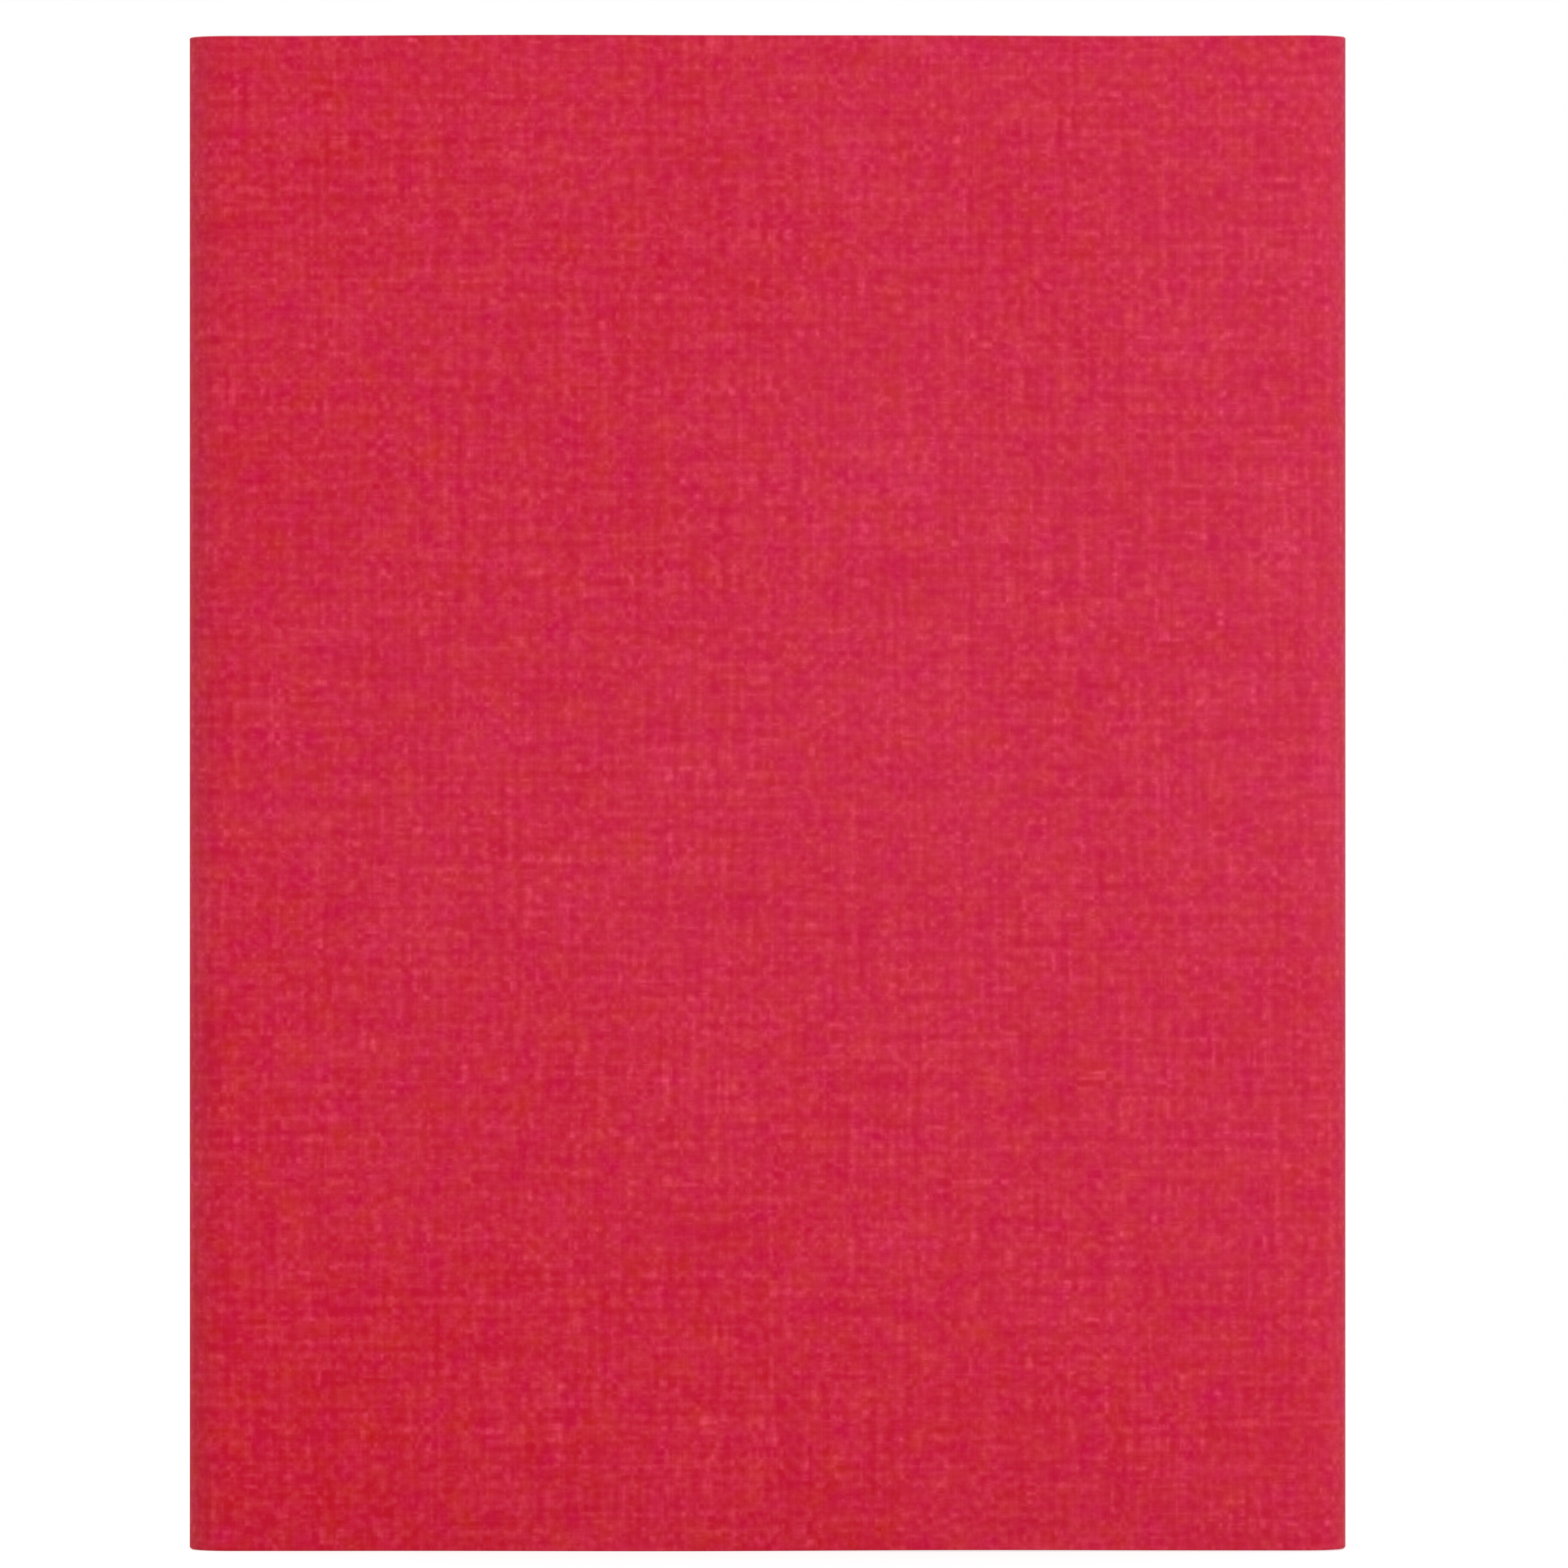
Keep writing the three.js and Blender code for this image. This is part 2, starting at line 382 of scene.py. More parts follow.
# A shader group with named sockets: inputs are {name: (kind, value)}, outputs {name: kind}.
def newGroup(name, inputs, outputs):
    tree = bpy.data.node_groups.new(name, "ShaderNodeTree")
    for key, (kind, value) in inputs.items():
        socket = tree.interface.new_socket(name=key, in_out="INPUT", socket_type="NodeSocket" + kind)
        if value is not None:
            socket.default_value = value
    for key, kind in outputs.items():
        tree.interface.new_socket(name=key, in_out="OUTPUT", socket_type="NodeSocket" + kind)
    entry = tree.nodes.new("NodeGroupInput")
    leave = tree.nodes.new("NodeGroupOutput")
    return Wiring(tree), entry.outputs, leave.inputs


# Plain weave: one set of threads runs along V and the other along U, over and under by turns.
def plainWeaveGroup():
    wiring, given, result = newGroup(
        "plainWeave",
        {"Vector": ("Vector", None), "Threads": ("Float", 2500.0)},
        {"Height": "Float", "Upright": "Float", "Gap": "Float"})
    u, v = wiring.parts(wiring.vector("SCALE", given["Vector"], scale=given["Threads"]))[:2]
    acrossUpright = wiring.math("SUBTRACT", wiring.math("FRACT", u), 0.5)
    acrossLevel = wiring.math("SUBTRACT", wiring.math("FRACT", v), 0.5)
    crossing = wiring.math("ADD", wiring.math("FLOOR", u), wiring.math("FLOOR", v))
    sign = wiring.timesPlus(wiring.math("FLOORED_MODULO", crossing, 2.0), 2.0, -1.0)
    crestUpright = wiring.math("COSINE", wiring.times(acrossUpright, math.pi))
    crestLevel = wiring.math("COSINE", wiring.times(acrossLevel, math.pi))
    # A thread is round across, and rises where it passes over the other.
    rise = wiring.times(crestLevel, sign)
    upright = wiring.timesPlus(rise, 0.5, crestUpright)
    fall = wiring.times(crestUpright, sign)
    level = wiring.timesPlus(fall, -0.5, crestLevel)
    height = wiring.math("MAXIMUM", upright, level)
    wiring.feed(result["Height"], height)
    wiring.feed(result["Upright"], wiring.math("GREATER_THAN", upright, level))
    wiring.feed(result["Gap"], wiring.remap(height, 0.45, 0.95, 1.0, 0.0))
    return wiring.tree


# Uneven yarn: thick and thin stretches along both sets of threads, each a value about 0.
def slubbyYarnGroup():
    wiring, given, result = newGroup(
        "slubbyYarn",
        {"Vector": ("Vector", None), "Across": ("Float", 700.0), "Along": ("Float", 220.0)},
        {"Upright": "Float", "Level": "Float", "Both": "Float"})
    u, v = wiring.parts(given["Vector"])[:2]
    made = []
    for name, wide, long, seed in (("Upright", u, v, 0.0), ("Level", v, u, 37.0)):
        across = wiring.times(wide, given["Across"])
        along = wiring.times(long, given["Along"])
        place = wiring.node("ShaderNodeCombineXYZ", {0: across, 1: along, 2: seed}).outputs[0]
        made.append(wiring.cloud(place, 1.0, 2.0, 0.55))
        wiring.feed(result[name], made[-1])
    wiring.feed(result["Both"], wiring.math("ADD", *made))
    return wiring.tree


# Fibre flecks and soft clouds of pulp board and paper, each a value about 0.
def pulpFibreGroup():
    wiring, given, result = newGroup(
        "pulpFibre",
        {"Vector": ("Vector", None), "Fleck Scale": ("Float", 900.0), "Cloud Scale": ("Float", 60.0)},
        {"Fleck": "Float", "Cloud": "Float"})
    stretched = wiring.mapped(given["Vector"], (1.0, 0.4, 0.4))
    wiring.feed(result["Fleck"], wiring.cloud(stretched, given["Fleck Scale"], 3.0, 0.65))
    wiring.feed(result["Cloud"], wiring.cloud(given["Vector"], given["Cloud Scale"], 3.0, 0.55))
    return wiring.tree


# A ragged band along the outer sides of a box, where handling rubs the surface: 1 at the edge, 0 inside.
def rubbedEdgeGroup():
    wiring, given, result = newGroup(
        "rubbedEdge",
        {"Vector": ("Vector", None), "Middle": ("Vector", (0, 0, 0)), "Half Size": ("Vector", (1, 1, 1)),
         "Reach": ("Float", 0.002)},
        {"Mask": "Float"})
    inside = wiring.vector("ABSOLUTE", wiring.vector("SUBTRACT", given["Vector"], given["Middle"]))
    x, y = wiring.parts(wiring.vector("SUBTRACT", given["Half Size"], inside))[:2]
    near = wiring.math("MINIMUM", x, y)
    ragged = wiring.times(wiring.cloud(given["Vector"], 700.0, 3.0, 0.6), 2.2)
    share = wiring.math("SUBTRACT", 1.0, wiring.math("DIVIDE", near, given["Reach"]))
    wiring.feed(result["Mask"], wiring.math("ADD", share, ragged, clamp=True))
    return wiring.tree


plainWeave = plainWeaveGroup()
slubbyYarn = slubbyYarnGroup()
pulpFibre = pulpFibreGroup()
rubbedEdge = rubbedEdgeGroup()


# A paper's or board's material, with the flecks and clouds of its pulp.
def newPaper(name, look):
    material, wiring, sockets = newMaterial(name, look["roughness"], look["specular"])
    flecks, clouds = look["pulp"]
    pulp = wiring.group(pulpFibre, **{"Vector": wiring.place(), "Fleck Scale": flecks,
                                      "Cloud Scale": clouds})
    return material, wiring, sockets, pulp


def finishPaper(wiring, sockets, look, color, shade, relief):
    wiring.feed(sockets["Base Color"], wiring.shaded(color, shade))
    wiring.feed(sockets["Normal"], wiring.bump(relief, *look["bump"]))


# Bares the fibre along a box's outer sides.
def rubEdges(wiring, color, middle, half, look):
    edge = wiring.group(rubbedEdge, **{"Vector": wiring.place(), "Middle": middle, "Half Size": half,
                                       "Reach": look["rubbedReach"]})["Mask"]
    rubbed, share = look["rubbed"]
    return wiring.mixed(wiring.times(edge, share), color, rubbed)


cotton = {
    "threads": 2500.0,               # to the metre, 64 to the inch
    "crimson": (0.644, 0.0124, 0.0436),
    "streak": ((0.085, 0.0160, 0.0260), 3.0),   # colour that thick yarn adds, and how far it goes
    "magenta": ((0.004, -0.0060, 0.0240), 2.6),
    "orange": ((0.008, 0.0120, -0.0070), 2.7),
    "dyeLot": ((0.020, 0.0085, 0.0210), 1.2),    # broad patches
    "paintedLight": ((0.012, 0.0078, 0.0180), 1.0),     # painted light: colour added where the key light falls brighter, towards the upper right, spread by the next three settings
    "paintedLightAcross": 5.1,
    "paintedLightUpTo": 0.15,
    "paintedLightBack": (0.14, 0.28, -0.30),     # a little less painted light again from here to here
    "clouds": {"magenta": 165.0, "orange": 190.0, "dyeLot": 22.0},   # changes to the metre
    "knots": (720.0, 110.0),         # where thick warp meets thick weft: changes across and along
    "knotLevel": 0.15,
    "specks": (590.0, 1.0, 0.3),     # changes to the metre, detail and roughness
    "slubs": (680.0, 30.0),          # long thick stretches
    "thread": (2500.0, 500.0),       # single threads
    "shifts": ((3.1, 7.7, 0), (1.3, 2.9, 0)),   # keep one pattern's spots off another's
    "shares": {"knots": 0.27, "specks": 0.85, "slubs": 0.62, "thread": 0.15},
    "standOut": 1.05,                # how much more thick spots show than thin ones
    # painted shade: how much darker the gaps between the threads are
    "paintedGapShade": -0.10,
    "selvedge": 0.006,
    "selvedgeShade": -0.12,
    "roughness": (0.86, 0.12),       # of the cloth, and its change with the threads
    "specular": 0.22,
    "sheen": (0.10, 0.55, (1.0, 0.55, 0.60, 1)),   # weight, roughness and tint
    "bump": (0.35, 0.06 * mm),
}


def makeCotton():
    roughness, roughnessChange = cotton["roughness"]
    material, wiring, sockets = newMaterial("crimsonCotton", roughness, cotton["specular"])
    uv = wiring.node("ShaderNodeUVMap", uv_map="weave").outputs[0]
    weave = wiring.group(plainWeave, Vector=uv, Threads=cotton["threads"])
    slubs = wiring.group(slubbyYarn, Vector=uv, Across=cotton["slubs"][0], Along=cotton["slubs"][1])
    fine = wiring.group(slubbyYarn, Vector=uv, Across=cotton["thread"][0], Along=cotton["thread"][1])
    elsewhere, apart = [wiring.mapped(uv, shift=shift) for shift in cotton["shifts"]]
    magenta = wiring.cloud(uv, cotton["clouds"]["magenta"])
    orange = wiring.cloud(elsewhere, cotton["clouds"]["orange"])
    dyeLot = wiring.cloud(elsewhere, cotton["clouds"]["dyeLot"])

    # Each crossing shows the unevenness of the thread that is on top there.
    level = wiring.math("SUBTRACT", 1.0, weave["Upright"])
    upright = wiring.times(fine["Upright"], weave["Upright"])
    onTop = wiring.timesPlus(fine["Level"], level, upright)
    crossed = wiring.group(slubbyYarn, Vector=apart, Across=cotton["knots"][0], Along=cotton["knots"][1])
    knotLevel = cotton["knotLevel"]
    warp = wiring.remap(crossed["Upright"], -knotLevel, knotLevel, -1.0, 1.0)
    weft = wiring.remap(crossed["Level"], -knotLevel, knotLevel, -1.0, 1.0)
    shares = cotton["shares"]
    streak = wiring.times(wiring.times(warp, weft), shares["knots"])
    specks = wiring.cloud(apart, *cotton["specks"])
    streak = wiring.timesPlus(specks, shares["specks"], streak)
    streak = wiring.timesPlus(slubs["Both"], shares["slubs"], streak)
    streak = wiring.timesPlus(onTop, shares["thread"], streak)
    streak = wiring.timesPlus(wiring.times(streak, streak), cotton["standOut"], streak)

    # Painted light: the colour turns lighter and cooler up to mid-height and towards the right, where the
    # key light falls, and a little less so near the top.
    place = wiring.parts(wiring.place())
    z = place[2]
    paintedLight = wiring.node("ShaderNodeMapRange", {"Value": z, "From Max": cotton["paintedLightUpTo"]},
                        interpolation_type="SMOOTHSTEP").outputs[0]
    paintedLight = wiring.timesPlus(place[0], cotton["paintedLightAcross"], paintedLight)
    backFrom, backTo, backBy = cotton["paintedLightBack"]
    paintedLight = wiring.math("ADD", paintedLight, wiring.remap(z, backFrom, backTo, 0.0, backBy))

    color = cotton["crimson"]
    values = {"streak": streak, "magenta": magenta, "orange": orange, "dyeLot": dyeLot, "paintedLight": paintedLight}
    for name, value in values.items():
        tint, strength = cotton[name]
        amount = wiring.times(value, strength)
        color = wiring.vector("ADD", color, wiring.vector("SCALE", tint, scale=amount))

    # The last few millimetres at both sides of the cloth are woven closer.
    width = wiring.parts(uv)[1]
    fromSide = wiring.math("MINIMUM", width, wiring.math("SUBTRACT", clothWidth, width))
    selvedge = wiring.math("LESS_THAN", fromSide, cotton["selvedge"])
    # Painted shade: the colour is darker in the gaps between the threads, where the weave lies low.
    shade = wiring.timesPlus(weave["Gap"], cotton["paintedGapShade"], 1.0)
    shade = wiring.timesPlus(selvedge, cotton["selvedgeShade"], shade)
    wiring.feed(sockets["Base Color"], wiring.shaded(color, shade))
    wiring.feed(sockets["Roughness"], wiring.timesPlus(fine["Both"], roughnessChange, roughness))
    sheenWeight, sheenRoughness, sheenTint = cotton["sheen"]
    sockets["Sheen Weight"].default_value = sheenWeight
    sockets["Sheen Roughness"].default_value = sheenRoughness
    sockets["Sheen Tint"].default_value = sheenTint
    height = wiring.timesPlus(fine["Both"], 0.5, weave["Height"])
    wiring.feed(sockets["Normal"], wiring.bump(height, *cotton["bump"]))
    return material


cloth = {
    "plies": 4,                    # folded in half, then in half again
    "turns": 4,
    "windGap": 0.3 * mm,           # between the board and the first turn
    "boardCorner": 2.5 * mm,
    "startInset": 9.6 * mm,        # from the board's left edge to the cloth's inner end
    "sheetThickness": 0.2 * mm,
    "step": 7 * mm,                # along the straight stretches
    "arcSteps": 6,                 # in a quarter turn
    "plyRows": 13,
    "foldSteps": 5,
    "crown": 0.9 * mm,             # how far the broad faces stand out in the middle
    "crownLoss": 0.55,             # share of the crown that is lost at the top and bottom
    "wave": 0.12 * mm,             # soft unevenness of the broad faces
    "waveSlant": (0.3, 0.2),       # how far those waves lean from upright and from level
    "waves": {                     # each soft wave's seed and length
        "along": (5, 0.09), "up": (8, 0.12), "top": (11, 0.11), "low": (12, 0.13),
        "selvedge": (13, 0.05), "cut": (21, 0.03), "fineCut": (22, 0.007),
    },
    "outerWander": 0.10 * mm,      # how far the outer turn's folds stray in height
    "innerWander": 2.5,            # how many times more the inner turns' folds stray
    "strayBack": 1.5,              # the folds lie so many strays short of the full height, on average
    "innerDrop": (0.35 * mm, 1.0 * mm),   # the inner turns' least drop, and its change from turn to turn
    "dropChange": 2.1,             # radians of that change to a turn
    "lowShare": 0.6,               # of that drop, at the lower end
    "selvedgeDrop": 1.8 * mm,      # from the folds down to the cloth's own sides
    "selvedgeWander": 0.5 * mm,
    "cutWander": 0.25 * mm,
    "cutReach": 6 * mm,            # how far in from the cut the wander is felt
    "bend": (2 * mm, 4 * mm),      # two lengths, before the loose end's hinge and past it
}
clothWidth = clothHeight * cloth["plies"]
plyPitch = turnThickness / cloth["plies"]
outerPly = (cloth["plies"] - 1) / 2 * plyPitch    # from the middle of a turn to its outer plies
cornerX = sleeveHigh.x - cloth["boardCorner"]
cornerY = sleeveHigh.y - cloth["boardCorner"]
outerGrowth = -rollLow.y - sleeveHigh.y - turnThickness - cloth["windGap"]
turnPitch = outerGrowth / (cloth["turns"] - 1)
tailEdge = tailLow.x


# Radius of the wound cloth's middle at the board's corners, in turn number k.
def cornerRadius(k):
    return cloth["boardCorner"] + cloth["windGap"] + turnThickness / 2 + (k - 1) * turnPitch


# Adds a straight stretch to the line, as points (x, y, turn).
def straight(line, end, turn, step):
    start = line[-1]
    count = max(1, round(math.dist(start[:2], end) / step))
    for i in range(1, count + 1):
        share = i / count
        line.append((start[0] + (end[0] - start[0]) * share, start[1] + (end[1] - start[1]) * share, turn))


def quarter(line, centre, radius, fromDegrees, turn):
    for i in range(cloth["arcSteps"] + 1):
        angle = math.radians(fromDegrees + 90 * i / cloth["arcSteps"])
        point = (centre[0] + radius * math.cos(angle), centre[1] + radius * math.sin(angle), turn)
        if math.dist(point[:2], line[-1][:2]) > hair:
            line.append(point)


# The middle of the wound cloth, from its inner end on the front of the board to its cut end at the back.
def woundLine():
    step = cloth["step"]
    line = [(sleeveLow.x + cloth["startInset"], -cornerY - cornerRadius(1), 1)]
    for k in range(1, cloth["turns"] + 1):
        radius = cornerRadius(k)
        straight(line, (cornerX, -cornerY - radius), k, step)
        quarter(line, (cornerX, -cornerY), radius, -90, k)
        straight(line, (cornerX + radius, 0), k, step)
        if k == cloth["turns"]:
            joinAt = len(line) - 1
        straight(line, (cornerX + radius, cornerY), k, step)
        quarter(line, (cornerX, cornerY), radius, 0, k)
        if k == cloth["turns"]:
            straight(line, (tailEdge, cornerY + radius), k, step)
            return line, joinAt
        straight(line, (-cornerX, cornerY + radius), k, step)
        quarter(line, (-cornerX, cornerY), radius, 90, k)
        straight(line, (-cornerX - radius - turnPitch, -cornerY), k + 1, step)
        quarter(line, (-cornerX, -cornerY), radius + turnPitch, 180, k + 1)


# The folded cloth's section: (place across the turn, height, place across the width, selvedge share).
def foldedSection():
    rows, folds = cloth["plyRows"], cloth["foldSteps"]
    points = []

    def ply(v, upwards, selvedge):
        for i in range(rows + 1):
            share = i / rows if upwards else 1 - i / rows
            points.append([v, share, selvedge])

    def fold(middle, radius, up, outwards):
        for i in range(1, folds):
            angle = math.pi * i / folds
            v = middle + radius * -math.cos(angle) * (1 if outwards else -1)
            points.append([v, (1 if up else 0, radius * math.sin(angle)), 0])

    innerPly = plyPitch / 2
    ply(-innerPly, False, 1)
    fold(0, innerPly, False, True)
    ply(innerPly, True, 0)
    fold(plyPitch, innerPly, True, True)
    ply(outerPly, False, 0)
    fold(0, outerPly, False, False)
    ply(-outerPly, True, 1)

    # Heights: a ply runs between the fold roots, and a fold rounds off past them.
    root = outerPly + cloth["sheetThickness"] / 2
    section = []
    for v, height, selvedge in points:
        if isinstance(height, tuple):
            atTop, past = height
            z = clothHeight - root + past if atTop else root - past
        else:
            z = root + (clothHeight - 2 * root) * height
        section.append((v, z, selvedge))
    return np.array(section)


# Soft waves of unit size that repeat nowhere, for wandering edges and faces.
def wander(name, value, side=0):
    seed, length = cloth["waves"][name]
    draw = random.Random(seed + side)
    total = 0
    for i in range(4):
        span = length * (0.7 + 0.55 * i)
        total = total + np.sin(value * (2 * math.pi / span) + draw.uniform(0, 2 * math.pi)) / 2
    return total / 1.4


# How far the cloth stands out from the line at (x, z) of the front or back face, in turn k.
def swell(x, z, turn, side):
    level = 2 * z / clothHeight - 1
    across = np.clip(1 - (x / cornerX) ** 2, 0, 1)
    crown = cloth["crown"] * across * (1 - cloth["crownLoss"] * level ** 4)
    alongSlant, upSlant = cloth["waveSlant"]
    along = wander("along", x + alongSlant * z, side)
    up = wander("up", z - upSlant * x, side)
    return (crown + cloth["wave"] * across * along * up) * turn / cloth["turns"]


line, joinAt = woundLine()
line = np.array(line)
steps = np.linalg.norm(np.diff(line[:, :2], axis=0), axis=1)
lengths = np.concatenate([[0], np.cumsum(steps)])


def makeClothSheet(name, first, last):
    points, along, turn = line[first:last + 1, :2], lengths[first:last + 1], line[first:last + 1, 2]
    tangent = np.gradient(line[:, :2], axis=0)[first:last + 1]
    tangent /= np.linalg.norm(tangent, axis=1)[:, None]
    normal = np.stack([tangent[:, 1], -tangent[:, 0]], axis=1)
    section = foldedSection()
    v, z, selvedge = section.T
    count, rows = len(points), len(section)

    # Inner turns stand a little short of the outer one at both ends, and every fold strays.
    inner = np.clip(cloth["turns"] - turn, 0, 1)
    least, change = cloth["innerDrop"]
    drop = inner * (least + change * (0.5 + 0.5 * np.sin(turn * cloth["dropChange"])))
    stray = cloth["outerWander"] * (1 + cloth["innerWander"] * inner)
    top = -drop + stray * (wander("top", along) - cloth["strayBack"])
    low = drop * cloth["lowShare"] + stray * (wander("low", along) + cloth["strayBack"])
    share = z / clothHeight
    ends = low[:, None] * (1 - share) + top[:, None] * share
    side = cloth["selvedgeDrop"] + cloth["selvedgeWander"] * wander("selvedge", along)
    ends = ends - side[:, None] * share * selvedge

    depthSide = (points[:, 1] > 0).astype(int)
    height = z[None, :] + ends
    out = np.zeros((count, rows))
    for face in (0, 1):
        mask = depthSide == face
        out[mask] = swell(points[mask, 0][:, None], height[mask], turn[mask][:, None], face)
    flat = np.abs(normal[:, 1])[:, None] ** 4
    offset = v[None, :] + out * flat

    places = np.zeros((count, rows, 3))
    places[:, :, 0] = points[:, 0][:, None] + normal[:, 0][:, None] * offset
    places[:, :, 1] = points[:, 1][:, None] + normal[:, 1][:, None] * offset
    places[:, :, 2] = height
    if last == len(line) - 1:
        # The cut end isn't quite straight.
        ragged = cloth["cutWander"] * (wander("cut", z) + wander("fineCut", z) * 0.5)[None, :]
        near = np.clip(1 - (along[-1] - along) / cloth["cutReach"], 0, 1)[:, None]
        places[:, :, 0] += ragged * near

    faces = []
    for i in range(count - 1):
        for j in range(rows - 1):
            a = i * rows + j
            faces.append((a, a + 1, a + rows + 1, a + rows))
    mesh = bpy.data.meshes.new(name)
    mesh.from_pydata(places.reshape(-1, 3).tolist(), [], faces)
    widthAt = np.concatenate([[0], np.cumsum(np.hypot(np.diff(v), np.diff(z)))])
    uvMap = mesh.uv_layers.new(name="weave")
    corners = np.zeros(len(mesh.loops), int)
    mesh.loops.foreach_get("vertex_index", corners)
    uv = np.stack([along[corners // rows], widthAt[corners % rows]], axis=1)
    uvMap.data.foreach_set("uv", uv.astype(np.float32).ravel())
    piece = bpy.data.objects.new(name, mesh)
    bpy.context.scene.collection.objects.link(piece)
    thicken(piece, cloth["sheetThickness"])
    smooth(piece, 80)
    dress(piece, crimsonCotton)
    return piece, float(along[-1] - along[0])


crimsonCotton = makeCotton()
clothRoll, rollLength = makeClothSheet("cloth_roll_sheet", 0, joinAt)
clothTail, tailLength = makeClothSheet("cloth_tail_sheet", joinAt, len(line) - 1)
standFor(clothRoll, "cloth_roll", "bolt")
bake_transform(clothTail)
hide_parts("cloth_tail")
print(f"cloth made: {clothWidth:.4f} m wide, roll {rollLength:.4f} m, tail {tailLength:.4f} m long")

board = {
    "liner": 0.35 * mm,            # the paper faces
    "medium": 0.25 * mm,           # the fluted paper between them
    "flutePitch": 6.35 * mm,
    "flutePoints": 8,              # along one flute
    "capGap": 0.3 * mm,            # over the cut walls, under a closed tuck flap
    "innerCorner": 0.6 * mm,
    "lapWidth": 24 * mm,
    "lapEndGap": 32 * mm,          # from the lap's ends to the core's
    "glue": 0.02 * mm,             # between the lap and the back wall
}


kraft = {
    "roughness": 0.80,
    "specular": 0.28,
    "pulp": (1100.0, 55.0),        # flecks and clouds to the metre
    "pale": (0.400, 0.262, 0.140),
    "dark": (0.285, 0.178, 0.092),
    "darkShare": 0.35,             # how much of the dark colour shows
    "flecks": 1.6,                 # what the flecks and the clouds add to that
    "clouds": 0.9,
    "rubbed": ((0.560, 0.420, 0.270), 0.55),   # colour of bare fibre, and how much of it shows
    "rubbedReach": 1.1 * mm,
    "paintedRibShade": 0.035,             # painted shade: how much the flutes show through the face paper, darker over their hollows and lighter over their ridges
    "fleckRoughness": 0.25,
    "ribRelief": 0.8,
    "fleckRelief": 1.2,
    "bump": (0.35, 0.08 * mm),
}


# Board paper: brown pulp with darker flecks, faint ribs over the flutes and rubbed outer edges.
def makeKraft():
    material, wiring, sockets, pulp = newPaper("kraftBoard", kraft)
    dark = wiring.timesPlus(pulp["Cloud"], kraft["clouds"], wiring.times(pulp["Fleck"], kraft["flecks"]))
    dark = wiring.math("ADD", dark, kraft["darkShare"], clamp=True)
    color = wiring.mixed(dark, kraft["pale"], kraft["dark"])
    middle, half = (sleeveLow + sleeveHigh) / 2, (sleeveHigh - sleeveLow) / 2
    color = rubEdges(wiring, color, middle, half, kraft)
    along = wiring.parts(wiring.place())[0]
    wave = wiring.math("COSINE", wiring.times(along, 2 * math.pi / board["flutePitch"]))
    # Painted shade: the paper is darker over the hollows between the flutes, following the ribs' relief.
    shade = wiring.timesPlus(wave, kraft["paintedRibShade"], 1.0)
    roughness = wiring.timesPlus(pulp["Fleck"], kraft["fleckRoughness"], kraft["roughness"])
    wiring.feed(sockets["Roughness"], roughness)
    relief = wiring.timesPlus(wave, kraft["ribRelief"], wiring.times(pulp["Fleck"], kraft["fleckRelief"]))
    finishPaper(wiring, sockets, kraft, color, shade, relief)
    return material


medium = {
    "roughness": 0.92,
    "specular": 0.15,
    "pulp": (1600.0, 120.0),
    "color": (0.300, 0.192, 0.104),
    "flecks": 0.55,
    "clouds": 0.5,
    "bump": (0.5, 0.1 * mm),
}


# The fluted paper inside the board, coarser and darker, with chalky cut fibres.
def makeMedium():
    material, wiring, sockets, pulp = newPaper("flutedMedium", medium)
    shade = wiring.timesPlus(pulp["Fleck"], medium["flecks"], 1.0)
    shade = wiring.timesPlus(pulp["Cloud"], medium["clouds"], shade)
    finishPaper(wiring, sockets, medium, medium["color"], shade, pulp["Fleck"])
    return material


# A fluted sheet in the XY plane about height z, with its flutes along Y.
def addFlutes(name, low, high, z, depth):
    pitch, count = board["flutePitch"], board["flutePoints"]
    piece = addGrid(name, low, (low[0] + pitch, high[1]), z, count, 1)
    reach = (depth - board["medium"]) / 2
    for i in range(count + 1):
        at = low[0] + pitch * i / count
        pick(piece, "VERT", lambda part, middle: abs(middle.x - at) < hair)
        bpy.ops.transform.translate(value=(0, 0, reach * math.cos(2 * math.pi * i / count)))
        finishEdit()
    repeats = math.ceil((high[0] - low[0]) / pitch)
    modify(piece, "ARRAY", count=repeats, use_merge_vertices=True, merge_threshold=hair)
    trim(piece, (high[0], 0, 0), (1, 0, 0))
    return piece


# A flat piece of board in the XY plane, its outer face at height z: two liners with flutes between.
def addBoard(name, low, high, z, corners=()):
    thickness, liner = boardThickness, board["liner"]
    outer = addGrid(name + "Outer", low, high, z)
    inner = addGrid(name + "Inner", low, high, z - thickness)
    flutes = addFlutes(name + "Flutes", low, high, z - thickness / 2, thickness - 2 * liner)
    for part in (outer, inner, flutes):
        for point, normal in corners:
            trim(part, point, normal)
    thicken(outer, liner, -1)
    thicken(inner, liner, 1)
    thicken(flutes, board["medium"])
    smooth(flutes, 60)
    dress(outer, kraftBoard)
    dress(inner, kraftBoard)
    dress(flutes, flutedMedium)
    return joinAll(name, [outer, inner, flutes])


